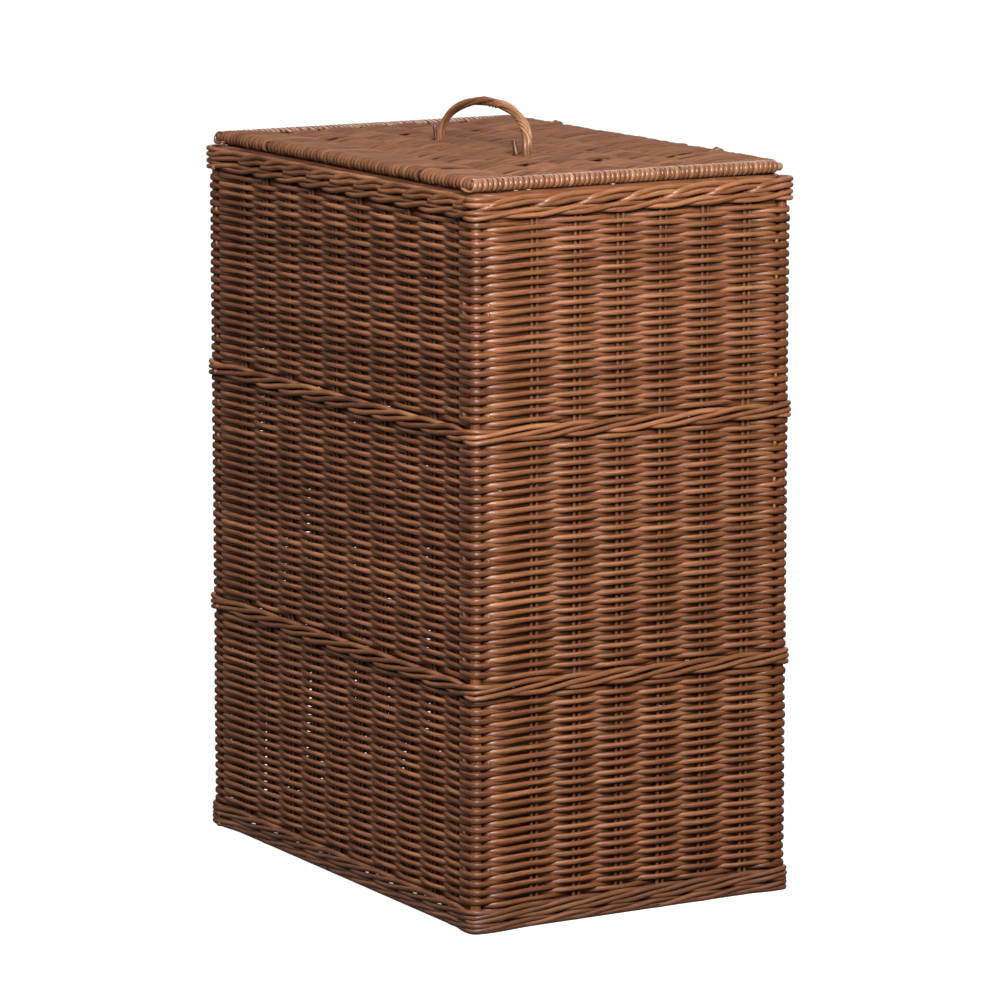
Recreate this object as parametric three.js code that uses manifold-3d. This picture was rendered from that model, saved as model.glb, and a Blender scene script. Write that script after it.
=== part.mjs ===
// A tall woven willow laundry basket with a hinged, handled lid.
//
// Millimetres, +Z up. The origin is at the middle of the footprint, on the floor. The long walls
// face -Y and +Y, the short walls face -X and +X, and the lid is hinged along the +Y wall.
// Every stake stands in its own bore through the stacked bands of weaving, and touching pieces
// keep a small gap.

import * as THREE from 'three';
import { mergeVertices } from 'three/addons/utils/BufferGeometryUtils.js';
import Module from 'manifold-3d';

const GAP = 0.3; // between pieces that touch
const PAST = 2; // how far a cutter runs past what it cuts

// The walls, measured to the middle of their thickness.
const WALL_X = 223;
const WALL_Y = 145.5;
const SIDING_THICK = 10.8; // a stake with one weaver in front and one behind
const WALE_THICK = 13.2; // a stake inside a band of thicker twisted rods
const WALE_EDGE = 3; // rounding of a wale's outer edges

// Heights of the bands of weaving, from the floor up.
const FOOT_TOP = 20;
const LOWER_WALE = { low: 192, high: 207 };
const UPPER_WALE = { low: 399.5, high: 414.5 };
const TOP_WALE = { low: 578, high: 588 };
const BORDER_TOP = 600;

// Stakes: pairs of thin rods along the walls, and one thick post in each corner.
const STAKE_RADIUS = 1.8;
const PAIR_SPACING = 5.2; // between the two rods of a pair
const PAIR_SIDES = 8;
const POST_RADIUS = 5;
const POST_INSET = 1.5; // from the middle of each wall's thickness
const POST_SIDES = 12;
const STAKE_FOOT = 4; // the stakes start this far above the floor
const LONG_WALL = { count: 10, spacing: 41, shift: 11.5 };
const SHORT_WALL = { count: 6, spacing: 40.4, shift: 9.6 };

// The base, woven on sticks that run the long way.
const BASE_LOW = 5;
const BASE_THICK = 12;
const STICK_RADIUS = 4;
const STICK_SIDES = 10;
const BASE_STICKS = { count: 5, spacing: 50 };

// The lid: a flat woven mat with a rolled rim, and a rod along each short end.
const LID_X = 449;
const LID_Y = 294;
const LID_LOW = 601;
const LID_THICK = 12;
const LID_ROLL = 5.8; // radius of the rolled rim
const LID_CORNER = 3;

// The hinge: two willow loops round the roll at the back of the lid and under the border's rods.
const HINGE_Y = 141;
const HINGE_Z = LID_LOW + LID_THICK / 2;
const HINGE_ROLL = 6;
const BARE_ROLL = 4.6; // the roll's radius inside each loop's slot
const LOOP_X = 130; // each loop's distance from the middle of the lid
const LOOP_RADIUS = 6.8;
const LOOP_ROD = 1.5;
const LOOP_SIDES = 8;
const LOOP_LOW = 590.9; // middle of the rod where it runs under the border
const LOOP_BEND = 2.5; // radius of the two lower bends
const LOOP_SPLIT = 0.8; // between the loop's two tucked ends
const LOOP_SLOT = 3; // half the width of the lid's slot for a loop
const SLOT_DEPTH = 14; // from the hinge axis to the slot's front edge

// The handle: an arch of twisted rods whose feet pass down through the mat.
const HANDLE_HALF_SPAN = 71;
const HANDLE_Y = -9;
const HANDLE_ROD = 4;
const HANDLE_BORE = HANDLE_ROD + 0.8; // the mat's holes for the two feet
const HANDLE_SHOULDER = LID_LOW + LID_THICK + 3; // where the straight feet turn into the arch
const HANDLE_TOP = 649; // middle of the rod at the top of the arch
const HANDLE_FULLNESS = 0.85; // below 1 the arch is fuller than an ellipse
const HANDLE_LEAN = 0.22; // how far the arch leans back for each millimetre that it rises
const HANDLE_SIDES = 10;

const CORNERS = [[1, 1], [-1, 1], [-1, -1], [1, -1]]; // counter-clockwise from +X +Y

const willow = {
  siding: material(0x7a5036, 0.72),
  wale: material(0x865a3d, 0.62),
  stake: material(0x5d3c29, 0.8),
  post: material(0x96643f, 0.6),
  border: material(0x8c5f41, 0.6),
  lid: material(0x99694b, 0.78),
  rod: material(0x8f6145, 0.55),
  base: material(0x6e4932, 0.8),
};

const wasm = await Module();
wasm.setup();

function material(color, roughness) {
  return new THREE.MeshStandardMaterial({ color, roughness, metalness: 0 });
}

// A closed geometry as a solid that can be joined and cut.
function solid(geometry) {
  const bare = geometry.clone();
  bare.deleteAttribute('normal');
  bare.deleteAttribute('uv');
  const merged = mergeVertices(bare, 1e-3);
  return new wasm.Manifold(new wasm.Mesh({
    numProp: 3,
    vertProperties: new Float32Array(merged.attributes.position.array),
    triVerts: new Uint32Array(merged.index.array),
  }));
}

// A solid as a geometry with flat faces.
function faceted(body) {
  const mesh = body.getMesh();
  const geometry = new THREE.BufferGeometry();
  geometry.setAttribute('position', new THREE.BufferAttribute(mesh.vertProperties, 3));
  geometry.setIndex(new THREE.BufferAttribute(mesh.triVerts, 1));
  const flat = geometry.toNonIndexed();
  flat.computeVertexNormals();
  return flat;
}

// Outlines in plan, standing from one height to another. An edge above 0 rounds both rims outwards.
function standing(shapes, low, high, edge = 0, segments = 2) {
  const geometry = new THREE.ExtrudeGeometry(shapes, {
    depth: high - low - 2 * edge,
    bevelEnabled: edge > 0,
    bevelSize: edge,
    bevelThickness: edge,
    bevelSegments: segments,
    curveSegments: 2,
  });
  return geometry.translate(0, 0, low + edge);
}

function roundedRectangle(halfX, halfY, radius) {
  const shape = new THREE.Shape();
  CORNERS.forEach(([signX, signY], k) => {
    const start = (k * Math.PI) / 2;
    const x = signX * (halfX - radius);
    const y = signY * (halfY - radius);
    shape.absarc(x, y, radius, start, start + Math.PI / 2, false);
  });
  shape.closePath();
  return shape;
}

// The outside of a band of weaving: it turns each corner round the middle of the corner post.
function bandOutside(thick, inset = 0) {
  const half = thick / 2 - inset;
  return roundedRectangle(WALL_X + half, WALL_Y + half, POST_INSET + half);
}

// The hollow inside a band of weaving, which bulges inwards round each corner post.
function bandHollow(thick) {
  const half = thick / 2;
  const radius = POST_INSET + half;
  const lean = Math.asin((half - POST_INSET) / radius);
  const shape = new THREE.Shape();
  CORNERS.forEach(([signX, signY], k) => {
    const turn = (k * Math.PI) / 2;
    const start = turn - Math.PI / 2 - lean;
    const end = turn - Math.PI + lean;
    const x = signX * (WALL_X - POST_INSET);
    const y = signY * (WALL_Y - POST_INSET);
    shape.absarc(x, y, radius, start, end, true);
  });
  shape.closePath();
  return shape;
}

function polygon(points) {
  return new THREE.Shape(points.map(([x, y]) => new THREE.Vector2(x, y)));
}

// The section of a pair of stakes: two rods side by side along the wall, wrapped in one outline.
function pairSection({ x, y, alongX }, spare = 0) {
  const radius = STAKE_RADIUS + spare;
  const points = [];
  for (let i = 0; i < PAIR_SIDES; i += 1) {
    const angle = ((i + 0.5) / PAIR_SIDES) * 2 * Math.PI;
    const along = radius * Math.cos(angle) + (Math.sign(Math.cos(angle)) * PAIR_SPACING) / 2;
    const across = radius * Math.sin(angle);
    points.push(alongX ? [x + along, y + across] : [x - across, y + along]);
  }
  return polygon(points);
}

function roundSection(x, y, radius, sides) {
  const points = [];
  for (let i = 0; i < sides; i += 1) {
    const angle = ((i + 0.5) / sides) * 2 * Math.PI;
    points.push([x + radius * Math.cos(angle), y + radius * Math.sin(angle)]);
  }
  return polygon(points);
}

// Places along one wall, counted from its low end.
function places({ count, spacing, shift = 0 }) {
  return Array.from({ length: count }, (_, i) => (i - (count - 1) / 2) * spacing + shift);
}

function stakePairs() {
  const pairs = [];
  for (const [wall, side] of [['front', -1], ['back', 1]]) {
    places(LONG_WALL).forEach((x, i) => {
      pairs.push({ name: `stake_pair_${wall}_${i + 1}`, x, y: side * WALL_Y, alongX: true });
    });
  }
  for (const [wall, side] of [['left', -1], ['right', 1]]) {
    places(SHORT_WALL).forEach((y, i) => {
      pairs.push({ name: `stake_pair_${wall}_${i + 1}`, x: side * WALL_X, y, alongX: false });
    });
  }
  return pairs;
}

function posts() {
  return CORNERS.map(([signX, signY]) => ({
    name: `corner_post_${signX > 0 ? 'right' : 'left'}_${signY > 0 ? 'back' : 'front'}`,
    x: signX * (WALL_X - POST_INSET),
    y: signY * (WALL_Y - POST_INSET),
  }));
}

function boreSections() {
  return [
    ...stakePairs().map((pair) => pairSection(pair, GAP)),
    ...posts().map(({ x, y }) => roundSection(x, y, POST_RADIUS + GAP, POST_SIDES)),
  ];
}

// One band of weaving round the whole basket, bored for the stakes from boresFrom upwards.
function band({ low, high, thick, edge = 0, boresFrom = low - PAST, bored = true }) {
  const outside = solid(standing([bandOutside(thick, edge)], low, high, edge));
  const hollow = solid(standing([bandHollow(thick)], low - PAST, high + PAST));
  const ring = outside.subtract(hollow);
  return bored ? ring.subtract(solid(standing(boreSections(), boresFrom, high + PAST))) : ring;
}

// A round rod along X or Y, about its own middle.
function rod(length, radius, sides, axis) {
  const geometry = new THREE.CylinderGeometry(radius, radius, length, sides);
  return axis === 'x' ? geometry.rotateZ(Math.PI / 2) : geometry;
}

function baseWeave() {
  const inside = bandHollow(WALE_THICK + 2 * GAP);
  let mat = solid(standing([inside], BASE_LOW, BASE_LOW + BASE_THICK));
  for (const y of places(BASE_STICKS)) {
    const bore = rod(2 * WALL_X, STICK_RADIUS + GAP, STICK_SIDES, 'x');
    mat = mat.subtract(solid(bore.translate(0, y, BASE_LOW + BASE_THICK / 2)));
  }
  return faceted(mat);
}

function baseStick() {
  return rod(2 * (WALL_X - WALE_THICK / 2 - 2 * GAP), STICK_RADIUS, STICK_SIDES, 'x');
}

// The border of rolled-down stakes, grooved on the outside and underneath where the loops pass.
function border() {
  let ring = band({
    low: TOP_WALE.high + GAP, high: BORDER_TOP, thick: WALE_THICK, edge: WALE_EDGE, bored: false,
  });
  const halfWidth = LOOP_ROD + GAP;
  const grooveTop = LOOP_LOW + LOOP_ROD + GAP;
  const grooveFace = HINGE_Y + LOOP_RADIUS - LOOP_ROD - GAP;
  for (const x of [-LOOP_X, LOOP_X]) {
    const under = block([x - halfWidth, WALL_Y - WALE_THICK, TOP_WALE.high - PAST],
      [x + halfWidth, WALL_Y + WALE_THICK, grooveTop]);
    const outside = block([x - halfWidth, grooveFace, TOP_WALE.high - PAST],
      [x + halfWidth, WALL_Y + WALE_THICK, BORDER_TOP + PAST]);
    ring = ring.subtract(under).subtract(outside);
  }
  return faceted(ring);
}

// A solid box between two opposite corners.
function block(low, high) {
  const size = high.map((value, i) => value - low[i]);
  const middle = high.map((value, i) => (value + low[i]) / 2);
  return solid(new THREE.BoxGeometry(...size).translate(...middle));
}

function lidMat() {
  const outline = roundedRectangle(LID_X / 2 - LID_ROLL, LID_Y / 2 - LID_ROLL, LID_CORNER);
  let mat = solid(standing([outline], LID_LOW, LID_LOW + LID_THICK, LID_ROLL, 4));
  for (const x of [-LID_X / 2 + HINGE_ROLL, LID_X / 2 - HINGE_ROLL]) {
    const bore = rod(LID_Y + PAST, STICK_RADIUS + GAP, STICK_SIDES, 'y');
    mat = mat.subtract(solid(bore.translate(x, 0, HINGE_Z)));
  }
  const feet = [-HANDLE_HALF_SPAN, HANDLE_HALF_SPAN].map(
    (x) => roundSection(x, HANDLE_Y, HANDLE_BORE, POST_SIDES),
  );
  mat = mat.subtract(solid(standing(feet, LID_LOW - PAST, LID_LOW + LID_THICK + PAST)));
  return faceted(mat.subtract(loopSlots()));
}

// The slots that leave the lid's back roll bare and round where each loop goes about it.
function loopSlots() {
  const roll = solid(rod(LID_X, BARE_ROLL, POST_SIDES * 2, 'x').translate(0, HINGE_Y, HINGE_Z));
  const slots = [-LOOP_X, LOOP_X].map((x) => block(
    [x - LOOP_SLOT, HINGE_Y - SLOT_DEPTH, LID_LOW - PAST],
    [x + LOOP_SLOT, HINGE_Y + SLOT_DEPTH, LID_LOW + LID_THICK + PAST],
  ));
  return slots[0].add(slots[1]).subtract(roll);
}

function lidEndStick() {
  return rod(LID_Y - 2 * GAP, STICK_RADIUS, STICK_SIDES, 'y');
}

// Points on an arc in the YZ plane, from one angle to another, both included.
function arc(y, z, radius, from, to, steps) {
  return Array.from({ length: steps + 1 }, (_, i) => {
    const angle = from + ((to - from) * i) / steps;
    return new THREE.Vector3(0, y + radius * Math.cos(angle), z + radius * Math.sin(angle));
  });
}

// A willow loop: over the lid's roll, down both sides of the border and under its rods.
function hingeLoop() {
  const quarter = Math.PI / 2;
  const back = HINGE_Y + LOOP_RADIUS;
  const front = HINGE_Y - LOOP_RADIUS;
  const bendZ = LOOP_LOW + LOOP_BEND;
  const points = [
    new THREE.Vector3(0, HINGE_Y + LOOP_SPLIT / 2, LOOP_LOW),
    ...arc(back - LOOP_BEND, bendZ, LOOP_BEND, -quarter, 0, 3),
    ...arc(HINGE_Y, HINGE_Z, LOOP_RADIUS, 0, 2 * quarter, 8),
    ...arc(front + LOOP_BEND, bendZ, LOOP_BEND, -2 * quarter, -quarter, 3),
    new THREE.Vector3(0, HINGE_Y - LOOP_SPLIT / 2, LOOP_LOW),
  ];
  return bentRod(points, LOOP_ROD, LOOP_SIDES, 28);
}

// A round rod along a smooth curve through the points.
function bentRod(points, radius, sides, steps) {
  const route = new THREE.CatmullRomCurve3(points, false, 'centripetal');
  const section = roundSection(0, 0, radius, sides);
  return new THREE.ExtrudeGeometry(section, { steps, bevelEnabled: false, extrudePath: route });
}

// The handle's arch, a little fuller than half an ellipse, leaning back from two straight feet.
function handle() {
  const steps = 12;
  const foot = (side, z, lean = 0) => (
    new THREE.Vector3(side * HANDLE_HALF_SPAN, HANDLE_Y + lean, z)
  );
  const points = [foot(-1, LID_LOW + GAP), foot(-1, LID_LOW + LID_THICK)];
  for (let i = 0; i <= steps; i += 1) {
    const angle = Math.PI - (i * Math.PI) / steps;
    const rise = (HANDLE_TOP - HANDLE_SHOULDER) * Math.sin(angle) ** HANDLE_FULLNESS;
    points.push(foot(Math.cos(angle), HANDLE_SHOULDER + rise, HANDLE_LEAN * rise));
  }
  points.push(foot(1, LID_LOW + LID_THICK), foot(1, LID_LOW + GAP));
  return bentRod(points, HANDLE_ROD, HANDLE_SIDES, 30);
}

function piece(name, geometry, look, place = [0, 0, 0]) {
  const mesh = new THREE.Mesh(geometry, look);
  mesh.name = name;
  mesh.position.set(...place);
  return mesh;
}

function buildBase() {
  const group = new THREE.Group();
  group.add(piece('base_weave', baseWeave(), willow.base));
  places(BASE_STICKS).forEach((y, i) => {
    const place = [0, y, BASE_LOW + BASE_THICK / 2];
    group.add(piece(`base_stick_${i + 1}`, baseStick(), willow.stake, place));
  });
  return group;
}

function buildStakes() {
  const group = new THREE.Group();
  const low = STAKE_FOOT + GAP;
  const high = TOP_WALE.high - GAP;
  for (const pair of stakePairs()) {
    group.add(piece(pair.name, standing([pairSection(pair)], low, high), willow.stake));
  }
  for (const { name, x, y } of posts()) {
    const section = roundSection(x, y, POST_RADIUS, POST_SIDES);
    group.add(piece(name, standing([section], low, high), willow.post));
  }
  return group;
}

function buildWalls() {
  const group = new THREE.Group();
  const wale = { thick: WALE_THICK, edge: WALE_EDGE };
  const foot = { low: 0, high: FOOT_TOP, boresFrom: STAKE_FOOT, ...wale };
  group.add(piece('foot_wale', faceted(band(foot)), willow.wale));
  const wales = [['lower_wale', LOWER_WALE], ['upper_wale', UPPER_WALE], ['top_wale', TOP_WALE]];
  for (const [name, reach] of wales) {
    group.add(piece(name, faceted(band({ ...reach, ...wale })), willow.wale));
  }
  const sidings = [
    ['lower_siding', FOOT_TOP, LOWER_WALE.low],
    ['middle_siding', LOWER_WALE.high, UPPER_WALE.low],
    ['upper_siding', UPPER_WALE.high, TOP_WALE.low],
  ];
  for (const [name, low, high] of sidings) {
    const siding = band({ low: low + GAP, high: high - GAP, thick: SIDING_THICK });
    group.add(piece(name, faceted(siding), willow.siding));
  }
  group.add(piece('border', border(), willow.border));
  return group;
}

function buildHinge() {
  const group = new THREE.Group();
  group.add(piece('hinge_loop_left', hingeLoop(), willow.rod, [-LOOP_X, 0, 0]));
  group.add(piece('hinge_loop_right', hingeLoop(), willow.rod, [LOOP_X, 0, 0]));
  return group;
}

function buildLid() {
  const group = new THREE.Group();
  const end = LID_X / 2 - HINGE_ROLL;
  group.add(piece('lid_mat', lidMat(), willow.lid));
  group.add(piece('lid_end_stick_left', lidEndStick(), willow.post, [-end, 0, HINGE_Z]));
  group.add(piece('lid_end_stick_right', lidEndStick(), willow.post, [end, 0, HINGE_Z]));
  group.add(piece('lid_handle', handle(), willow.rod));
  return group;
}

const basket = new THREE.Group();
basket.add(buildBase(), buildStakes(), buildWalls(), buildHinge(), buildLid());

export default basket;
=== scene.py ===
"""A woven willow laundry basket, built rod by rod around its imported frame.

Lengths are in metres, written as millimetres times MM. The walls are walked counter-clockwise from
above, station by station: a station is a corner post or a pair of stakes, and "u" counts stations.
"""

import math

import bpy
import numpy as np
from mathutils import Matrix, Vector

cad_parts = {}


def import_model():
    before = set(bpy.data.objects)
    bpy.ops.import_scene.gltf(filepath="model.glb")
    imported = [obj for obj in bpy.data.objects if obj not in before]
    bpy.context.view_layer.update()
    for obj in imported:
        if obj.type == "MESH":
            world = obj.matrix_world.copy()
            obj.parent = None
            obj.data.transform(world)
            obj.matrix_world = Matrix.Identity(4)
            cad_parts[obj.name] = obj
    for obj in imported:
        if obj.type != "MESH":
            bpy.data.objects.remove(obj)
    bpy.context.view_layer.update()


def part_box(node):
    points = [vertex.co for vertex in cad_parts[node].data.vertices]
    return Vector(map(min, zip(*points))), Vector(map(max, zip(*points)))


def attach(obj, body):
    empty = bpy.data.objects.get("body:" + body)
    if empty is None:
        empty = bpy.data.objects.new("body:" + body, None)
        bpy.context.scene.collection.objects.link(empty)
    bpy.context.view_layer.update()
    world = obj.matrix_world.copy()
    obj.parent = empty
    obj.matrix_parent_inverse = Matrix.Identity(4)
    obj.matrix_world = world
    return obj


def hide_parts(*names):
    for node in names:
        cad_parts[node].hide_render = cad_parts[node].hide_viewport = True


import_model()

MM = 0.001
UP = np.array([0.0, 0.0, 1.0])

# Rod radii, and how the rods lie round the stakes and posts.
WEAVER = 1.85 * MM
WALE_ROD = 2.25 * MM
FOOT_ROD = 2.3 * MM
BORDER_ROD = 2.35 * MM
STAKE_ROD = 1.6 * MM
PAIR_HALF = 2.6 * MM  # from the middle of a pair to each of its rods
POST = 4.4 * MM
POST_OUT = 1.6 * MM  # how far a corner post is bent outwards by the rods around it
FLATTEN = 0.45  # how much a weaver is flattened where it bends round a post
WIDEN = 0.35  # and how much wider it gets there
BESIDE = 17 * MM  # how far from a post a weaver still lies outside
BESIDE_IN = 1.5 * MM  # and how much it has come in by then
TALL = 1.08  # how tall a weaver is for its thickness
TALL_INSIDE = 0.5  # how much taller it is where it passes inside the stakes
THIN_INSIDE = 0.15  # and how much thinner

# The rows of the walls.
STATION_PITCH = 41 * MM  # from one pair of stakes to the next
PAIR_SHARE = 0.063  # half a pair's width, in stations
POST_TURN = 7  # radians round a post that count as one station
ROW_PITCH = 3.73 * MM
SAG = 0.42 * MM  # a weaver lies this much higher outside the stakes and this much lower inside
SAMPLE = 5.2 * MM  # distance between the rings of a rod's mesh

# The border's plain rods inside the stakes, from the border's foot and from its top rods.
BORDER_INSIDE = (1 * MM, 5.5 * MM)
BORDER_RING = 1.5 * MM

# The lid.
LID_PITCH = 5.8 * MM
LID_ROD = 2.85 * MM
LID_THIN = 1.6 * MM  # the lid's weavers are flattened to this half thickness
LID_STICK = 1.5 * MM
LID_STICKS = 7
LID_BEND = 2.2 * MM  # how far a weaver goes above or below the sticks' level
CROWN = 2.0 * MM  # how far the lid's middle stands above its edges
BIND_PITCH = 4.7 * MM
END_STICK = 3.6 * MM

HANDLE_ROD = 4.0 * MM
HANDLE_FULLNESS = 0.85  # below 1 the arch is fuller than an ellipse

BASE_PITCH = 4.4 * MM
BASE_ROD = 1.9 * MM

# The stage.
MIDDLE = Vector((0, 0, 0.3))  # the point that the lamps face and the camera is set out from
FLOOR_HALF = 60
KEY_SIZE = 0.7
SUNS = (  # name, strength, where it stands and how many degrees wide it is
    ("fill", 1.15, (-0.30, -0.72, 0.62), 50),
    ("behind", 1.2, (-0.62, 0.66, 0.42), 50),
    ("above", 0.8, (0.05, 0.05, 1.0), 60),
)


# ---------------------------------------------------------------- curves and rods


def unit(vectors):
    return vectors / np.linalg.norm(vectors, axis=-1, keepdims=True)


def smooth(points, spacing=SAMPLE):
    """Samples a curve through the points. Columns past x, y and z go straight."""
    points = np.asarray(points, float)
    steps = points[1:] - points[:-1]
    chords = np.linalg.norm(steps[:, :3], axis=1)[:, None] + 1e-9
    slopes = steps / chords
    tangents = np.empty_like(points)
    tangents[0], tangents[-1] = slopes[0], slopes[-1]
    before, after = chords[:-1], chords[1:]
    tangents[1:-1] = (slopes[1:] * before + slopes[:-1] * after) / (before + after)
    counts = np.maximum(1, np.round(chords[:, 0] / spacing).astype(int))
    k = np.repeat(np.arange(len(counts)), counts)
    first = np.cumsum(counts) - counts
    t = ((np.arange(len(k)) - first[k]) / counts[k])[:, None]
    chord = chords[k]
    made = (
        (2 * t**3 - 3 * t**2 + 1) * points[k]
        + (t**3 - 2 * t**2 + t) * chord * tangents[k]
        + (3 * t**2 - 2 * t**3) * points[k + 1]
        + (t**3 - t**2) * chord * tangents[k + 1]
    )
    made[:, 3:] = ((1 - t) * points[k] + t * points[k + 1])[:, 3:]
    return np.vstack([made, points[-1:]])


def rounded(path, radius, reference, flat, thin):
    """Adds a ring near each end, so that a rod keeps its thickness and ends in a small round."""
    count = len(path)
    rides = np.column_stack([
        path,
        radius,
        np.broadcast_to(np.asarray(reference, float), (count, 3)),
        np.broadcast_to(np.asarray(flat, float), (count,)),
        np.broadcast_to(np.asarray(thin, float), (count,)),
    ])
    first, last = rides[0].copy(), rides[-1].copy()
    for end, near, at in ((first, rides[1], 1), (last, rides[-2], -1)):
        gap = np.linalg.norm(near[:3] - end[:3]) + 1e-9
        share = min(0.5, 0.4 * end[3] / gap)
        added = end + (near - end) * share
        rides = np.insert(rides, at if at > 0 else len(rides) - 1, added, axis=0)
    rides[[0, -1], 3] *= 0.7
    return rides[:, :3], rides[:, 3], rides[:, 4:7], rides[:, 7], rides[:, 8]


def wander(u, size, rng):
    """A slow random drift along a rod."""
    total = sum(
        rng.uniform(0.4, 1.0) * np.sin(2 * math.pi * (wave * u + rng.random()))
        for wave in (0.11, 0.29, 0.63)
    )
    return size * total


def level(ray):
    """Outward directions in the plane, as directions in space."""
    return np.column_stack([ray, np.zeros(len(ray))])


def lean_ends(path, ray, u, over, inwards, lift):
    """Leans both ends of a rod inwards, its start upwards and its end downwards."""
    lean = np.clip(1 - np.minimum(u - u[0], u[-1] - u) / over, 0, 1)
    path[:, :2] -= ray * (lean * inwards)[:, None]
    path[:, 2] += np.where(u < u.mean(), 1, -1) * lean * lift


class Bundle:
    """Collects rods and turns them into one mesh."""

    def __init__(self, seed):
        self.rng = np.random.default_rng(seed)
        self.corners, self.faces, self.fibres, self.tones = [], [], [], []
        self.count = 0

    def rod(self, path, radius, reference, sides=8, flat=1.0, thin=1.0, tone=None):
        """A rod along path. reference points across it; thin scales it that way, flat the other."""
        path = np.asarray(path, float)
        radius = np.broadcast_to(np.asarray(radius, float), (len(path),))
        path, radius, reference, flat, thin = rounded(path, radius, reference, flat, thin)
        count = len(path)
        tangent = unit(np.gradient(path, axis=0))
        across = unit(reference - (reference * tangent).sum(1, keepdims=True) * tangent)
        over = np.cross(tangent, across)
        turn = np.arange(sides) * 2 * math.pi / sides
        out = np.cos(turn)[None, :, None] * (across * thin[:, None])[:, None]
        side = np.sin(turn)[None, :, None] * (over * flat[:, None])[:, None]
        body = path[:, None] + radius[:, None, None] * (out + side)
        start = path[0] - tangent[0] * radius[0] * 0.3
        end = path[-1] + tangent[-1] * radius[-1] * 0.3
        self.corners.append(np.vstack([body.reshape(-1, 3), start, end]))

        i = np.arange(count - 1)[:, None] * sides
        j = np.arange(sides)[None]
        k = (j + 1) % sides
        quads = np.stack([i + j, i + k, i + k + sides, i + j + sides], -1).reshape(-1, 4)
        low, high = count * sides, count * sides + 1
        last = (count - 1) * sides
        j, k = j[0], k[0]
        start = np.stack([k, j, np.full(sides, low)], -1)
        end = np.stack([last + j, last + k, np.full(sides, high)], -1)
        self.faces.append((quads + self.count, np.vstack([start, end]) + self.count))

        along = np.concatenate([[0], np.cumsum(np.linalg.norm(np.diff(path, axis=0), axis=1))])
        own = self.rng.random()
        fibre = np.empty((count, sides, 3))
        fibre[..., 0] = along[:, None] + 7 * own
        fibre[..., 1] = np.cos(turn)[None]
        fibre[..., 2] = np.sin(turn)[None] + 40 * own
        self.fibres.append(np.vstack([fibre.reshape(-1, 3), fibre[0, :1], fibre[-1, :1]]))
        value = self.rng.normal(0.5, 0.1) if tone is None else tone
        if np.ndim(value):
            value = np.concatenate([value[:1], value, value[-1:]])
        rings = np.broadcast_to(np.clip(value, 0, 1), (count,))
        self.tones.append(np.concatenate([np.repeat(rings, sides), rings[[0, -1]]]))
        self.count += count * sides + 2

    def piece(self, name, look, slot, body, *nodes):
        """Makes the mesh object, which rides on the body and stands for the CAD nodes."""
        mesh = bpy.data.meshes.new(name)
        corners = np.vstack(self.corners)
        quads = np.vstack([q for q, _ in self.faces])
        triangles = np.vstack([t for _, t in self.faces])
        mesh.vertices.add(len(corners))
        mesh.vertices.foreach_set("co", corners.astype(np.float32).ravel())
        loops = np.concatenate([quads.ravel(), triangles.ravel()]).astype(np.int32)
        mesh.loops.add(len(loops))
        mesh.loops.foreach_set("vertex_index", loops)
        starts = np.concatenate([
            np.arange(len(quads)) * 4,
            len(quads) * 4 + np.arange(len(triangles)) * 3,
        ])
        mesh.polygons.add(len(starts))
        mesh.polygons.foreach_set("loop_start", starts.astype(np.int32))
        mesh.polygons.foreach_set("use_smooth", np.ones(len(starts), bool))
        fibre = mesh.attributes.new("fibre", "FLOAT_VECTOR", "POINT")
        fibre.data.foreach_set("vector", np.vstack(self.fibres).astype(np.float32).ravel())
        tone = mesh.attributes.new("tone", "FLOAT", "POINT")
        tone.data.foreach_set("value", np.concatenate(self.tones).astype(np.float32))
        mesh.update(calc_edges=True)
        mesh.materials.append(look)
        made = bpy.data.objects.new(name, mesh)
        bpy.context.scene.collection.objects.link(made)
        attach(made, body)
        if nodes:
            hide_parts(*nodes)


# ---------------------------------------------------------------- the walls' stations


class Station:
    """A pair of stakes in a wall, or a corner post between two walls."""

    def __init__(self, node, normal, next_normal=None):
        low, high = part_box(node)
        self.node = node
        self.middle = np.array([(low.x + high.x) / 2, (low.y + high.y) / 2])
        self.post = next_normal is not None
        outward = np.array(normal, float)
        if self.post:
            outward = unit(outward + next_normal)
            self.middle = self.middle + outward * POST_OUT
        self.out = outward
        self.along = np.array([-outward[1], outward[0]])

    def passing(self, side, rod, squeeze=0.0):
        """Where a rod passes this station: outside for side 1, inside for side -1.

        Gives each point, the way outwards, the station number's part and how squeezed the rod is."""
        if not self.post:
            reach = side * (STAKE_ROD + rod)
            made = []
            for shift, share in ((-PAIR_HALF, -PAIR_SHARE), (PAIR_HALF, PAIR_SHARE)):
                spot = self.middle + self.along * shift + self.out * reach
                made.append((spot, self.out, share, min(side, 0) * squeeze))
            return made
        reach = POST + rod * (1 - FLATTEN * squeeze)
        if side < 0:
            return [self.round_post(-reach, -angle, -squeeze) for angle in (-28, 0, 28)]
        made = [self.round_post(reach, angle, squeeze) for angle in (-45, -20, 0, 20, 45)]
        if squeeze:
            made.insert(0, self.beside_post(made[0], -1, reach))
            made.append(self.beside_post(made[-1], 1, reach))
        return made

    def round_post(self, reach, angle, held):
        turn = math.atan2(self.out[1], self.out[0]) + math.radians(angle)
        ray = np.array([math.cos(turn), math.sin(turn)])
        share = math.radians(angle if reach > 0 else -angle) / POST_TURN
        return self.middle + ray * reach, ray, share, held

    def beside_post(self, last, way, reach):
        """A weaver stays outside for a while after it leaves the post."""
        _, ray, _, _ = last
        along = np.array([-ray[1], ray[0]]) * way
        spot = self.middle + ray * (reach - BESIDE_IN) + along * BESIDE
        return spot, ray, way * BESIDE / STATION_PITCH, 0.0


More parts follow.
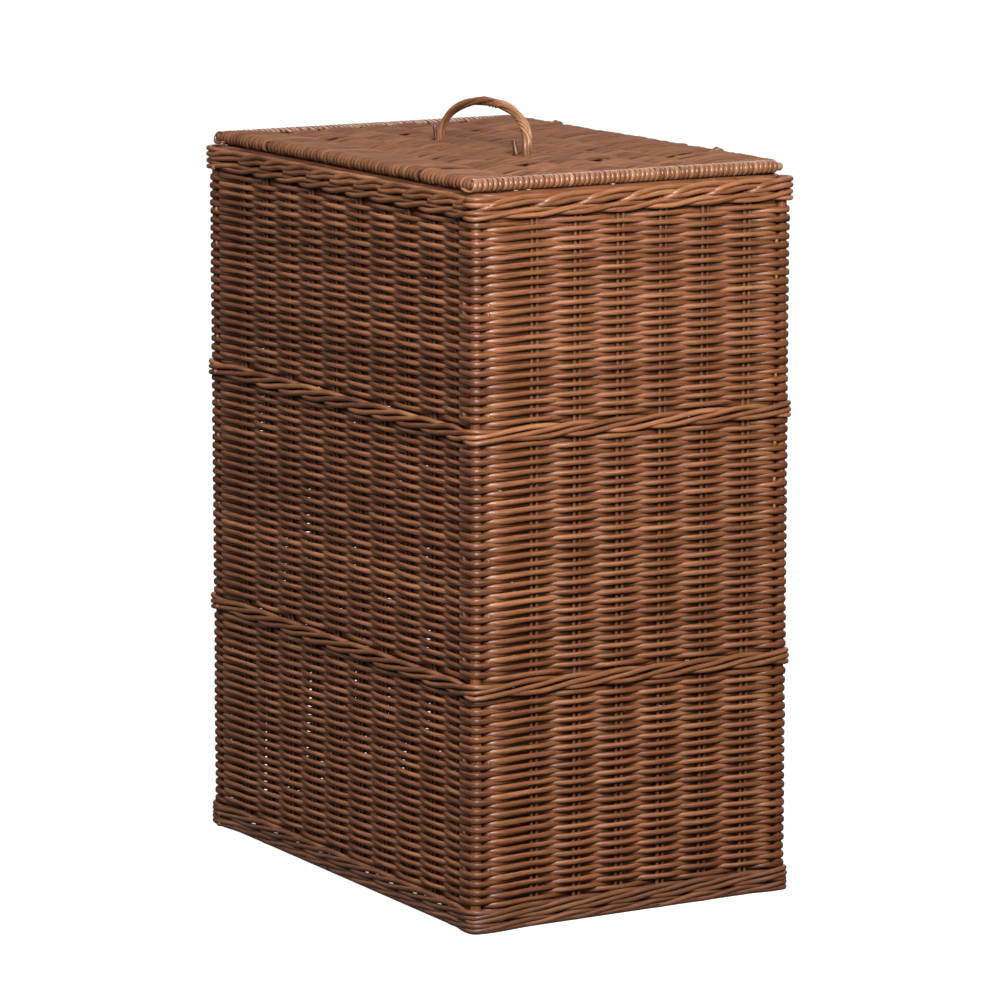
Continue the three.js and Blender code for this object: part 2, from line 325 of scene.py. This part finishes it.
def walk_stations():
    """All stations, counter-clockwise from the left front post."""
    walls = [
        ("front", (0, -1), range(1, 11), "left_front"),
        ("right", (1, 0), range(1, 7), "right_front"),
        ("back", (0, 1), range(10, 0, -1), "right_back"),
        ("left", (-1, 0), range(6, 0, -1), "left_back"),
    ]
    made = []
    for k, (wall, normal, numbers, corner) in enumerate(walls):
        made.append(Station(f"corner_post_{corner}", walls[k - 1][1], np.array(normal, float)))
        made += [Station(f"stake_pair_{wall}_{n}", normal) for n in numbers]
    return made


STATIONS = walk_stations()
ROUND = len(STATIONS)


def station(i):
    return STATIONS[i % ROUND]


def course(first, last, side_of, height_of, rod, tuck=9 * MM, squeeze=0.0, sag=0.0):
    """A rod's way past the stations first to last, with both ends tucked along the wall.

    The columns are x, y, z, the outward normal's x and y, u and how squeezed the rod is
    (1 round the outside of a post, -1 inside the stakes)."""
    rows = []
    for i in range(first, last + 1):
        side = side_of(i)
        for spot, ray, share, held in station(i).passing(side, rod, squeeze):
            rows.append([*spot, height_of(i + share) + sag * side, *ray, i + share, held])
    for end, turn in ((0, -1), (-1, 1)):
        x, y, z, nx, ny, u, held = rows[end]
        along = np.array([-ny, nx]) * turn * tuck
        extra = [x + along[0], y + along[1], z, nx, ny, u + turn * tuck / STATION_PITCH, held]
        rows.insert(0 if end == 0 else len(rows), extra)
    return smooth(rows)


def steady(height):
    return lambda u: height


# ---------------------------------------------------------------- walls


def field_rows(low, high):
    count = round((high - low) / ROW_PITCH)
    return [low + (high - low) * (k + 0.5) / count for k in range(count)]


def siding(node, look, seed):
    """The rows of weavers between two wales, as one piece of odd rows and one of even rows."""
    low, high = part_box(node)
    bundles = [Bundle(seed), Bundle(seed + 1)]
    for k, height in enumerate(field_rows(low.z, high.z)):
        parity = k % 2
        bundle = bundles[parity]
        rng = bundle.rng
        side_of = lambda i: 1 if (i + parity) % 2 == 0 else -1
        first = 2 * int(rng.integers(0, ROUND // 2)) + 1 - parity
        for part in (0, 1):
            start = first + part * ROUND // 2
            way = course(start, start + ROUND // 2, side_of, steady(height), WEAVER, squeeze=1.0, sag=SAG)
            path, ray, u, held = way[:, :3].copy(), way[:, 3:5], way[:, 5], way[:, 6]
            path[:, 2] += wander(u, 0.16 * MM, rng)
            path[:, :2] += ray * wander(u, 0.16 * MM, rng)[:, None]
            lean_ends(path, ray, u, 0.4, 1.3 * MM, 0.9 * MM)
            ends = (1.05, 0.94) if rng.random() < 0.5 else (0.94, 1.05)
            taper = np.linspace(*ends, len(u))
            radius = WEAVER * rng.uniform(0.96, 1.06) * taper
            squeezed, inside = np.clip(held, 0, 1), np.clip(-held, 0, 1)
            bundle.rod(
                path, radius, level(ray),
                flat=TALL + WIDEN * squeezed + TALL_INSIDE * inside,
                thin=1 - FLATTEN * squeezed - THIN_INSIDE * inside,
                tone=rng.normal(0.5, 0.1) - 0.3 * squeezed)
    for bundle, name in zip(bundles, ("even", "odd")):
        bundle.piece(f"{node}_{name}_rows", look, "siding", "basket", node)


def wale(bundle, middle, rods, rod, spread):
    """A band of twisted rods: each passes in front of all stations but one, climbing as it goes."""
    rng = bundle.rng
    for j in range(rods):
        side_of = lambda i: -1 if (i - j) % rods == 0 else 1
        knots = [0, 1 / rods, (rods - 1) / rods, 1]
        rises = [0, -spread, spread, 0]
        height_of = lambda u: middle + np.interp(((u - j) / rods) % 1.0, knots, rises)
        way = course(j, j + ROUND, side_of, height_of, rod, tuck=14 * MM)
        path, ray, u = way[:, :3].copy(), way[:, 3:5], way[:, 5]
        phase = ((u - j) / rods) % 1.0
        bulge = 0.5 * MM * np.sin(math.pi * phase)
        path[:, :2] += ray * (bulge + wander(u, 0.15 * MM, rng))[:, None]
        path[:, 2] += wander(u, 0.22 * MM, rng)
        lean_ends(path, ray, u, 0.5, 1.5 * MM, rod)
        radius = rod * (1 + wander(u, 0.03, rng))
        bundle.rod(path, radius, level(ray))


def inner_rods(bundle, heights, rod):
    """Plain rods that run round the wall inside the stakes, end to end."""
    for n, height in enumerate(heights):
        first = 3 + 7 * n
        way = course(first, first + ROUND - 1, lambda i: -1, steady(height), rod, tuck=30 * MM)
        way[:, 2] += wander(way[:, 5], 0.15 * MM, bundle.rng)
        # Their tone of 0.25 paints these rods darker than the rest: painted shade, as they lie inside the
        # wall.
        bundle.rod(way[:, :3], rod, level(way[:, 3:5]), tone=0.25)


def wales(look):
    """The two wales between the sidings and the one under the border."""
    for node, rods, seed in (("lower_wale", 4, 31), ("upper_wale", 4, 32), ("top_wale", 3, 33)):
        low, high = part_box(node)
        bundle = Bundle(seed)
        spread = (rods - 2) * WALE_ROD * 1.1
        lift = 1.4 * MM if rods == 3 else 0
        middle = (low.z + high.z) / 2 + lift
        wale(bundle, middle, rods, WALE_ROD, spread)
        heights = np.linspace(middle - spread - 2.6 * MM, middle + spread + 1.5 * MM, rods)
        inner_rods(bundle, heights, WALE_ROD)
        bundle.piece(f"{node}_rods", look, "wale", "basket", node)


def foot(look):
    """The foot: a low wale on one plain rod, and a high wale."""
    low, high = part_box("foot_wale")
    bundle = Bundle(34)
    wale(bundle, low.z + 4.6 * MM, 3, FOOT_ROD, 2.3 * MM)
    # The plain rod along the bottom; its tone of 0.3 paints it darker, as painted shade towards the bottom.
    way = course(5, 5 + ROUND, lambda i: 1, steady(low.z + FOOT_ROD), FOOT_ROD)
    bundle.rod(way[:, :3], FOOT_ROD, level(way[:, 3:5]), tone=0.3)
    inner_rods(bundle, [high.z - 3 * MM], FOOT_ROD)
    wale(bundle, high.z - 6.0 * MM, 4, FOOT_ROD, 4.4 * MM)
    bundle.piece("foot_wale_rods", look, "wale", "basket", "foot_wale")


def border(look):
    """The stakes' own ends, two at each station: out past the next one, then over or in."""
    low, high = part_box("border")
    bundle = Bundle(35)
    rng = bundle.rng
    top = high.z - BORDER_ROD - 0.2 * MM
    upper = dict(start=2.6 * MM, rise=6.9 * MM, outside=top - low.z, inside=8.2 * MM, leave=1.2 * MM)
    lower = dict(start=0.6 * MM, rise=2.2 * MM, outside=4.6 * MM, inside=3.6 * MM, leave=0.8 * MM)
    for i in range(ROUND):
        for plan, shift in ((upper, 1.9 * MM), (lower, -1.9 * MM)):
            border_rod(bundle, i, plan, shift, low.z, rng)
    inner_rods(bundle, [*(low.z + rise for rise in BORDER_INSIDE), top + BORDER_RING], BORDER_ROD)
    bundle.piece("border_rods", look, "border", "basket", "border")


def border_rod(bundle, i, plan, shift, floor, rng):
    """One stake's end, from station i to station i + 3. The plan's heights are above the floor."""
    here, after = station(i), station(i + 1)
    lift = rng.uniform(-0.4, 0.4) * MM
    ray, along = (after.out, after.along) if here.post and not after.post else (here.out, here.along)
    outside = (POST if here.post else STAKE_ROD) + BORDER_ROD
    rows = []
    for out, z, turn in (
        (-1.0 * MM, -7 * MM, 0),
        (0.3 * MM, plan["start"] - 2.5 * MM, 0.5 * MM),
        (outside + 0.9 * MM, plan["start"] + 0.9 * MM, 5.5 * MM),
        (outside + 0.5 * MM, plan["rise"], 19 * MM),
    ):
        spot = here.middle + ray * out + along * (turn + shift)
        rows.append([*spot, floor + z + lift, *ray, i + turn / STATION_PITCH])
    for spot, way, share, _ in after.passing(1, BORDER_ROD):
        rows.append([*(spot + way * 0.3 * MM), floor + plan["outside"] + lift, *way, i + 1 + share])
    for spot, way, share, _ in station(i + 2).passing(-1, BORDER_ROD):
        rows.append([*spot, floor + plan["inside"] + lift, *way, i + 2 + share])
    for spot, way, share, _ in station(i + 3).passing(-1, BORDER_ROD):
        rows.append([*spot, floor + plan["inside"] - plan["leave"] + lift, *way, i + 3 + share])
    way = smooth(rows, 3.5 * MM)
    radius = BORDER_ROD * rng.uniform(0.94, 1.08) * np.linspace(1.08, 0.86, len(way))
    bundle.rod(way[:, :3], radius, level(way[:, 3:5]), sides=10)


def stakes(look, post_look):
    """The corner posts and the pairs of stakes, as upright rods."""
    for here in STATIONS:
        low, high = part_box(here.node)
        bundle = Bundle(sum(map(ord, here.node)))
        rng = bundle.rng
        heights = np.linspace(low.z, high.z + 2 * MM, 40)
        shifts = (0,) if here.post else (-PAIR_HALF, PAIR_HALF)
        for shift in shifts:
            flat = here.middle + here.along * shift
            path = np.column_stack([np.tile(flat, (len(heights), 1)), heights])
            for axis in (0, 1):
                path[:, axis] += wander(heights / (60 * MM), (0.25 if here.post else 0.16) * MM, rng)
            radius = POST if here.post else STAKE_ROD
            radius = radius * np.linspace(1.02, 0.94, len(heights))
            bundle.rod(path, radius, [1, 0, 0], sides=14 if here.post else 8)
        name = here.node.replace("corner_post", "post_rod").replace("stake_pair", "stake_rods")
        used_look, slot = (post_look, "post") if here.post else (look, "stake")
        bundle.piece(name, used_look, slot, "basket", here.node)


# ---------------------------------------------------------------- base


def base(look, stick_look):
    """Weavers from front to back, over and under the base's long sticks."""
    low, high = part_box("base_weave")
    middle = (low.z + high.z) / 2
    bundle = Bundle(51)
    rng = bundle.rng
    sticks = [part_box(f"base_stick_{n}") for n in range(1, 6)]
    stick = (sticks[0][1].z - sticks[0][0].z) / 2
    places = [(a.y + b.y) / 2 for a, b in sticks]
    reach = stick + BASE_ROD
    edge = high.y - 5 * MM
    count = int((high.x - low.x) / BASE_PITCH)
    for k in range(count):
        x = low.x + (k + 0.5) * (high.x - low.x) / count
        side = 1 if k % 2 else -1
        rows = [[x, -edge, middle + side * reach * 0.5]]
        rows += [[x, y, middle - side * (-1) ** n * reach] for n, y in enumerate(places)]
        rows += [[x, edge, middle + side * reach * 0.5]]
        way = smooth(rows, 7 * MM)
        way[:, 0] += wander(way[:, 1] / (60 * MM), 0.3 * MM, rng)
        bundle.rod(way, BASE_ROD, [1, 0, 0], sides=6)
    bundle.piece("base_weave_rods", look, "base_weave", "basket", "base_weave")
    for n, (a, b) in enumerate(sticks):
        bundle = Bundle(60 + n)
        xs = np.linspace(a.x, b.x, 60)
        path = np.column_stack([xs, np.full(60, (a.y + b.y) / 2), np.full(60, middle)])
        path[:, 1] += wander(xs / (80 * MM), 0.3 * MM, bundle.rng)
        bundle.rod(path, stick, UP, sides=12)
        bundle.piece(f"base_rod_{n + 1}", stick_look, "stick", "basket", f"base_stick_{n + 1}")


# ---------------------------------------------------------------- lid


class Lid:
    """The lid's measures, from its CAD nodes."""

    def __init__(self):
        self.low, self.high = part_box("lid_mat")
        self.middle = (self.low.z + self.high.z) / 2
        left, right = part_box("lid_end_stick_left"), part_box("lid_end_stick_right")
        self.end_x = (right[0].x + right[1].x) / 2
        self.roll = (self.high.z - self.low.z) / 2
        self.edge_y = self.high.y - self.roll
        step = 2 * self.edge_y / (LID_STICKS + 1)
        self.sticks = [-self.edge_y + step * (n + 1) for n in range(LID_STICKS)]
        loops = [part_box(f"hinge_loop_{name}") for name in ("left", "right")]
        self.loops = [(a.x + b.x) / 2 for a, b in loops]
        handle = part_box("lid_handle")
        self.feet_y = handle[0].y + HANDLE_ROD
        self.feet = [handle[0].x + HANDLE_ROD, handle[1].x - HANDLE_ROD]

    def rise(self, x, y):
        """How far the woven mat stands above the level of its rim."""
        across = np.clip(1 - (x / self.end_x) ** 2, 0, 1)
        along = np.clip(1 - (y / self.edge_y) ** 2, 0, 1)
        return CROWN * np.sqrt(across * along)


def lid_mat(lid, look):
    """Weavers from front to back, over and under the long sticks and round both long rims."""
    bundle = Bundle(71)
    rng = bundle.rng
    core = lid.roll - 2 * LID_THIN + 0.1 * MM
    turn = core + LID_THIN * 0.9
    reach = lid.end_x - 3.5 * MM
    count = round(2 * reach / LID_PITCH)
    for k in range(count):
        x = -reach + (k + 0.5) * 2 * reach / count
        if min(abs(x - loop) for loop in lid.loops) < 2.2 * MM:
            continue
        side = 1 if k % 2 else -1
        front = rim_turn(lid, x, -1, turn)
        top = [
            [x, y, lid.middle + side * (-1) ** n * LID_BEND + lid.rise(x, y)]
            for n, y in enumerate(lid.sticks)]
        rows = front + top + rim_turn(lid, x, 1, turn)[::-1]
        way = smooth(rows, 4.2 * MM)
        way[:, 0] += wander(way[:, 1] / (50 * MM), 0.3 * MM, rng)
        way[:, 2] += wander(way[:, 1] / (40 * MM), 0.3 * MM, rng)
        wide = LID_ROD * rng.uniform(0.94, 1.06)
        bundle.rod(way, wide, [1, 0, 0], sides=10, flat=LID_THIN / LID_ROD)
    bundle.piece("lid_mat_rows", look, "lid_weave", "lid", "lid_mat")


def rim_turn(lid, x, end, turn):
    """A weaver's way round a long rim, from under the mat to the top of it."""
    edge = end * lid.edge_y
    rows = [[x, edge - end * 16 * MM, lid.middle - turn + 1.2 * MM]]
    for angle in np.radians([-95, -60, -30, 0, 30, 60, 90]):
        rows.append([x, edge + end * turn * math.cos(angle), lid.middle + turn * math.sin(angle)])
    rows.append([x, edge - end * 7 * MM, lid.middle + turn - 0.5 * MM + lid.rise(x, edge - end * 7 * MM)])
    return rows


def lid_sticks(lid, look):
    """The long sticks inside the mat, and the rods inside its two long rims."""
    bundle = Bundle(72)
    xs = np.linspace(-lid.end_x, lid.end_x, 60)
    for y in lid.sticks:
        path = np.column_stack([xs, np.full(60, y), lid.middle + lid.rise(xs, y)])
        bundle.rod(path, LID_STICK, UP, sides=8)
    core = lid.roll - 2 * LID_THIN
    for y in (-lid.edge_y, lid.edge_y):
        path = np.column_stack([xs, np.full(60, y), np.full(60, lid.middle)])
        bundle.rod(path, core, UP, sides=12)
    bundle.piece("lid_long_sticks", look, "stick", "lid")


def lid_bindings(lid, look):
    """The short edges: close turns of thin rod round the end stick, tucked into the mat."""
    bundle = Bundle(73)
    rng = bundle.rng
    thick, wide = 1.0 * MM, 2.12 * MM
    turn = END_STICK + thick * 0.8
    low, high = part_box("lid_end_stick_right")
    first, last = low.y + 1.3 * MM, high.y - 8 * MM
    count = round((last - first) / BIND_PITCH)
    for side in (-1, 1):
        x0 = side * lid.end_x
        for k in range(count + 1):
            y = first + k * (last - first) / count + rng.uniform(-0.25, 0.25) * MM
            slant = (0.7 + rng.uniform(-0.3, 0.3)) * MM + 1.6 * MM * math.exp(-k / 1.5)
            deep = rng.uniform(9, 15) * MM
            inner = x0 - side * deep
            rows = [[inner, y + slant * 1.6, lid.middle + turn - 2.2 * MM + lid.rise(inner, y)]]
            rows.append([x0 - side * 5 * MM, y + slant * 1.2, lid.middle + turn - 0.1 * MM])
            for angle in np.linspace(95, -95, 9):
                bend = math.radians(angle)
                rows.append([
                    x0 + side * turn * math.cos(bend),
                    y + slant * angle / 95,
                    lid.middle + turn * math.sin(bend),
                ])
            rows.append([x0 - side * 13 * MM, y - slant, lid.middle - turn + 1.6 * MM])
            way = smooth(rows, 2.4 * MM)
            bundle.rod(way, wide * rng.uniform(0.93, 1.05), [0, 1, 0], sides=8, flat=thick / wide)
    bundle.piece("lid_end_bindings", look, "lid_weave", "lid")


def lid_end_sticks(lid, look):
    """The rod along each short edge. It is thicker at its front end, which shows at the corner."""
    for n, name in enumerate(("left", "right")):
        node = f"lid_end_stick_{name}"
        low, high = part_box(node)
        bundle = Bundle(80 + n)
        ys = np.linspace(low.y + 0.5 * MM, high.y, 60)
        path = np.column_stack([np.full(60, (low.x + high.x) / 2), ys, np.full(60, lid.middle)])
        radius = np.where(ys < ys[0] + 4 * MM, END_STICK + 1 * MM, END_STICK)
        bundle.rod(path, radius, UP, sides=16, tone=np.where(ys < 0, 0.3, 0.8))
        bundle.piece(f"lid_end_rod_{name}", look, "stick", "lid", node)


def frames(line, across):
    """Distances along a line, and the two directions across it."""
    tangent = unit(np.gradient(line, axis=0))
    across = np.broadcast_to(np.asarray(across, float), line.shape)
    across = unit(across - (across * tangent).sum(1, keepdims=True) * tangent)
    along = np.concatenate([[0], np.cumsum(np.linalg.norm(np.diff(line, axis=0), axis=1))])
    return along, across, np.cross(tangent, across)


def wound(bundle, line, across, ride, radius, phase, pitch, tone=None):
    """A thin rod wound round a line."""
    along, across, over = frames(line, across)
    turn = phase - 2 * math.pi * along / pitch
    path = line + np.asarray(ride)[..., None] * (
        np.cos(turn)[:, None] * across + np.sin(turn)[:, None] * over)
    bundle.rod(path, radius, across, sides=10, tone=tone)


def handle_line(lid):
    """The middle of the handle: an arch that leans back from its two feet."""
    low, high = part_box("lid_handle")
    top = high.z - HANDLE_ROD
    shoulder = lid.high.z + 3 * MM
    lean = (high.y - HANDLE_ROD - lid.feet_y) / (top - shoulder)
    span = (lid.feet[1] - lid.feet[0]) / 2
    rows = [[lid.feet[0], lid.feet_y, low.z + 1 * MM], [lid.feet[0], lid.feet_y, lid.high.z]]
    for angle in np.linspace(math.pi, 0, 40):
        rise = (top - shoulder) * max(math.sin(angle), 0) ** HANDLE_FULLNESS
        rows.append([span * math.cos(angle), lid.feet_y + lean * rise, shoulder + rise])
    rows += [[lid.feet[1], lid.feet_y, lid.high.z], [lid.feet[1], lid.feet_y, low.z + 1 * MM]]
    return smooth(rows, 1.5 * MM)


def handle(lid, look):
    """An arch of a few rods laid together, with thin rods wound round its right half."""
    bundle = Bundle(90)
    line = handle_line(lid)
    share = np.linspace(0, 1, len(line))
    across = [0, 1, 0]
    bundle.rod(line, 2.3 * MM, across, sides=8, tone=0.3)
    thick = 1.7 * MM + 0.35 * MM * share
    for k in range(4):
        wound(bundle, line, across, 1.75 * MM + 0.4 * MM * share, thick, k * math.pi / 2, 118 * MM)
    half = line[int(len(line) * 0.43):]
    for k in range(3):
        wound(bundle, half, across, 3.35 * MM, 1.05 * MM, k * 0.75, 46 * MM, tone=0.75 + 0.1 * k)
    foot_z = lid.high.z
    stubs = (
        (lid.feet[1] - 7 * MM, -5 * MM, -3 * MM, 2.2 * MM),
        (lid.feet[0] - 3 * MM, -3 * MM, -1 * MM, 1.5 * MM),
    )
    for x, y, dx, radius in stubs:
        bottom = np.array([x, lid.feet_y + y, foot_z - 3 * MM])
        tip = bottom + [dx, -1 * MM, 13 * MM]
        path = bottom + np.linspace(0, 1, 8)[:, None] * (tip - bottom)
        bundle.rod(path, radius, across, sides=10, tone=0.05)
    bundle.piece("lid_handle_rods", look, "rod", "lid", "lid_handle")


def hinge_loops(look):
    """Each loop is two thin rods twisted together along the path of its CAD node."""
    for n, name in enumerate(("left", "right")):
        node = f"hinge_loop_{name}"
        low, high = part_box(node)
        bundle = Bundle(95 + n)
        rod = (high.x - low.x) / 2
        x, y0 = (low.x + high.x) / 2, (low.y + high.y) / 2
        wide = (high.y - low.y) / 2 - rod
        top = high.z - rod - wide
        floor = low.z + rod
        bend = 2.5 * MM
        rows = [[x, y0 + 0.5 * MM, floor], [x, y0 + wide - bend, floor], [x, y0 + wide, floor + bend]]
        rows += [[x, y0 + wide * math.cos(a), top + wide * math.sin(a)] for a in np.linspace(0, math.pi, 12)]
        rows += [[x, y0 - wide, floor + bend], [x, y0 - wide + bend, floor], [x, y0 - 0.5 * MM, floor]]
        line = smooth(rows, 1.2 * MM)
        for k in (0, 1):
            wound(bundle, line, [1, 0, 0], 0.75 * MM, 0.78 * MM, math.pi * k, 15 * MM)
        bundle.piece(f"hinge_loop_{name}_rods", look, "rod", "basket", node)


# ---------------------------------------------------------------- materials


class Nodes:
    """Short names for making a node tree."""

    def __init__(self, material):
        material.use_nodes = True
        self.tree = material.node_tree
        self.tree.nodes.clear()

    def add(self, kind, settings=None, **inputs):
        node = self.tree.nodes.new(kind)
        for name, value in (settings or {}).items():
            setattr(node, name, value)
        for name, value in inputs.items():
            self.feed(node.inputs[name.replace("_", " ")], value)
        return node

    def feed(self, socket, value):
        """Gives a socket another node's output, a number or a colour."""
        if isinstance(value, bpy.types.NodeSocket):
            self.tree.links.new(value, socket)
        else:
            socket.default_value = value

    def math(self, operation, a, b):
        node = self.tree.nodes.new("ShaderNodeMath")
        node.operation = operation
        for socket, value in zip(node.inputs, (a, b)):
            self.feed(socket, value)
        return node.outputs[0]

    def ramp(self, factor, stops):
        node = self.add("ShaderNodeValToRGB", Fac=factor)
        elements = node.color_ramp.elements
        while len(elements) < len(stops):
            elements.new(0.5)
        for element, (position, colour) in zip(elements, stops):
            element.position = position
            element.color = (*colour, 1)
        return node.outputs[0]

    def mix(self, factor, a, b):
        """Goes from colour a to colour b. Both the factor and a are other nodes' outputs."""
        node = self.tree.nodes.new("ShaderNodeMix")
        node.data_type = "RGBA"
        for number, value in ((0, factor), (6, a), (7, (*b, 1))):
            self.feed(node.inputs[number], value)
        return node.outputs[2]


def srgb(r, g, b):
    """A colour given as 0 to 255 sRGB, in linear light."""
    return tuple(
        (c / 255) / 12.92 if c / 255 <= 0.04045 else ((c / 255 + 0.055) / 1.055) ** 2.4
        for c in (r, g, b)
    )


def willow(name, dark, middle, light, rough, bump=0.25, gloss=0.4):
    """Stained willow: rod to rod tone, blotches along each rod, fine fibres and knots."""
    material = bpy.data.materials.new(name)
    n = Nodes(material)
    fibre = n.add("ShaderNodeAttribute", {"attribute_name": "fibre"}).outputs["Vector"]
    tone = n.add("ShaderNodeAttribute", {"attribute_name": "tone"}).outputs["Fac"]
    long_map = n.add("ShaderNodeMapping", Vector=fibre, Scale=(22, 0.35, 1))
    blotch = n.add("ShaderNodeTexNoise", Vector=long_map.outputs[0], Scale=1.0, Detail=4.0, Roughness=0.6)
    fine_map = n.add("ShaderNodeMapping", Vector=fibre, Scale=(70, 3.2, 3.2))
    fine = n.add("ShaderNodeTexNoise", Vector=fine_map.outputs[0], Scale=1.0, Detail=5.0, Roughness=0.65)
    value = n.math("ADD", n.math("MULTIPLY", tone, 0.62), n.math("MULTIPLY", blotch.outputs[0], 0.55))
    value = n.math("ADD", value, n.math("MULTIPLY", n.math("SUBTRACT", fine.outputs[0], 0.5), 0.85))
    colour = n.ramp(value, [(0.18, dark), (0.55, middle), (0.95, light)])
    hue = n.add("ShaderNodeTexNoise", Vector=long_map.outputs[0], Scale=0.37, Detail=2.0)
    stain = n.math("MULTIPLY", n.math("GREATER_THAN", hue.outputs[0], 0.6), 0.12)
    colour = n.mix(stain, colour, srgb(112, 84, 38))
    knots = n.add("ShaderNodeTexNoise", Vector=long_map.outputs[0], Scale=2.3, Detail=1.0)
    spots = n.math("MULTIPLY", n.math("GREATER_THAN", knots.outputs[0], 0.72), 0.35)
    colour = n.mix(spots, colour, dark)
    roughness = n.math("ADD", n.math("MULTIPLY", fine.outputs[0], 0.22), rough - 0.11)
    height = n.math("ADD", fine.outputs[0], n.math("MULTIPLY", blotch.outputs[0], 0.6))
    relief = n.add("ShaderNodeBump", Strength=bump, Distance=0.0006, Height=height)
    shader = n.add(
        "ShaderNodeBsdfPrincipled",
        Base_Color=colour, Roughness=roughness, Normal=relief.outputs[0])
    shader.inputs["Specular IOR Level"].default_value = gloss
    n.add("ShaderNodeOutputMaterial", Surface=shader.outputs[0])
    return material


# ---------------------------------------------------------------- stage


def world():
    """A faint, even light from all round."""
    made = bpy.data.worlds.new("studio")
    bpy.context.scene.world = made
    made.use_nodes = True
    background = made.node_tree.nodes["Background"]
    background.inputs["Color"].default_value = (1, 1, 1, 1)
    background.inputs["Strength"].default_value = 0.13


def floor():
    """A pale floor that gives off light, so that it reads as white, but sheds none on the basket."""
    mesh = bpy.data.meshes.new("floor")
    signs = ((-1, -1), (1, -1), (1, 1), (-1, 1))
    mesh.from_pydata([(FLOOR_HALF * a, FLOOR_HALF * b, 0) for a, b in signs], [], [(0, 1, 2, 3)])
    made = bpy.data.objects.new("floor", mesh)
    material = bpy.data.materials.new("pale_floor")
    n = Nodes(material)
    shader = n.add("ShaderNodeBsdfPrincipled", Base_Color=(0.5, 0.5, 0.5, 1), Roughness=0.9)
    shader.inputs["Specular IOR Level"].default_value = 0.1
    shader.inputs["Emission Color"].default_value = (1, 1, 1, 1)
    shader.inputs["Emission Strength"].default_value = 0.64
    n.add("ShaderNodeOutputMaterial", Surface=shader.outputs[0])
    mesh.materials.append(material)
    made.visible_diffuse = False
    made.visible_glossy = False
    bpy.context.scene.collection.objects.link(made)


def lamp(name, kind, energy, toward, distance=2.0):
    """A lamp in the given direction from the basket's middle, which it faces."""
    data = bpy.data.lights.new(name, kind)
    data.energy = energy
    made = bpy.data.objects.new(name, data)
    toward = Vector(toward).normalized()
    made.location = MIDDLE + toward * distance
    made.rotation_euler = (-toward).to_track_quat("-Z", "Y").to_euler()
    bpy.context.scene.collection.objects.link(made)
    return data


def lights():
    """A key lamp on the right, and three broad, even ones."""
    key = lamp("key", "AREA", 78, (0.78, -0.30, 0.54), 1.9)
    key.shape = "SQUARE"
    key.size = KEY_SIZE
    for name, strength, toward, degrees in SUNS:
        lamp(name, "SUN", strength, toward).angle = math.radians(degrees)


def camera():
    """The view of the photograph, with the camera's middle a little beside and above the basket's."""
    azimuth, elevation, distance = math.radians(59.64), math.radians(9.88), 4.414
    right, up = 6.7 * MM, 9.45 * MM
    back = Vector((
        math.sin(azimuth) * math.cos(elevation),
        -math.cos(azimuth) * math.cos(elevation),
        math.sin(elevation),
    ))
    side = Vector((math.cos(azimuth), math.sin(azimuth), 0))
    above = back.cross(side)
    data = bpy.data.cameras.new("camera")
    data.lens = 186.8
    data.sensor_width = 36
    data.clip_end = 100
    made = bpy.data.objects.new("camera", data)
    place = MIDDLE + side * right + above * up + back * distance
    turn = Matrix((side, above, back)).transposed()
    made.matrix_world = Matrix.Translation(place) @ turn.to_4x4()
    bpy.context.scene.collection.objects.link(made)
    bpy.context.scene.camera = made


# ---------------------------------------------------------------- the basket

bpy.context.scene.view_settings.view_transform = "Standard"
camera()
world()
floor()
lights()

weave_look = willow("willow_weaver", srgb(48, 23, 10), srgb(99, 57, 33), srgb(152, 102, 69), 0.38, bump=0.4)
wale_look = willow("willow_wale", srgb(52, 26, 13), srgb(104, 62, 37), srgb(152, 102, 68), 0.4, bump=0.4)
# The foot's colours are a darker copy of the wale's: painted shade for the light that falls off towards the
# bottom.
foot_shaded_look = willow("willow_foot_painted_shade", srgb(44, 22, 11), srgb(84, 49, 29), srgb(122, 79, 52), 0.46, bump=0.4)
stake_look = willow("willow_stake", srgb(46, 23, 12), srgb(86, 48, 29), srgb(122, 80, 54), 0.5)
post_look = willow("willow_post", srgb(58, 28, 10), srgb(102, 56, 26), srgb(142, 88, 48), 0.44)
lid_look = willow(
    "willow_lid", srgb(56, 31, 18), srgb(94, 58, 38), srgb(125, 84, 59), 0.68, bump=0.4, gloss=0.15)
bind_look = willow("willow_binding", srgb(50, 26, 14), srgb(104, 65, 43), srgb(152, 108, 78), 0.32)
rod_look = willow("willow_twist", srgb(50, 26, 13), srgb(96, 57, 34), srgb(160, 114, 78), 0.34)
base_look = willow("willow_base", srgb(50, 27, 16), srgb(90, 55, 36), srgb(124, 85, 60), 0.6)

for number, node in enumerate(("lower_siding", "middle_siding", "upper_siding")):
    siding(node, weave_look, 10 + 2 * number)
wales(wale_look)
foot(foot_shaded_look)
border(wale_look)
stakes(stake_look, post_look)
base(base_look, stake_look)
lid = Lid()
lid_mat(lid, lid_look)
lid_sticks(lid, stake_look)
lid_bindings(lid, bind_look)
lid_end_sticks(lid, bind_look)
handle(lid, rod_look)
hinge_loops(rod_look)
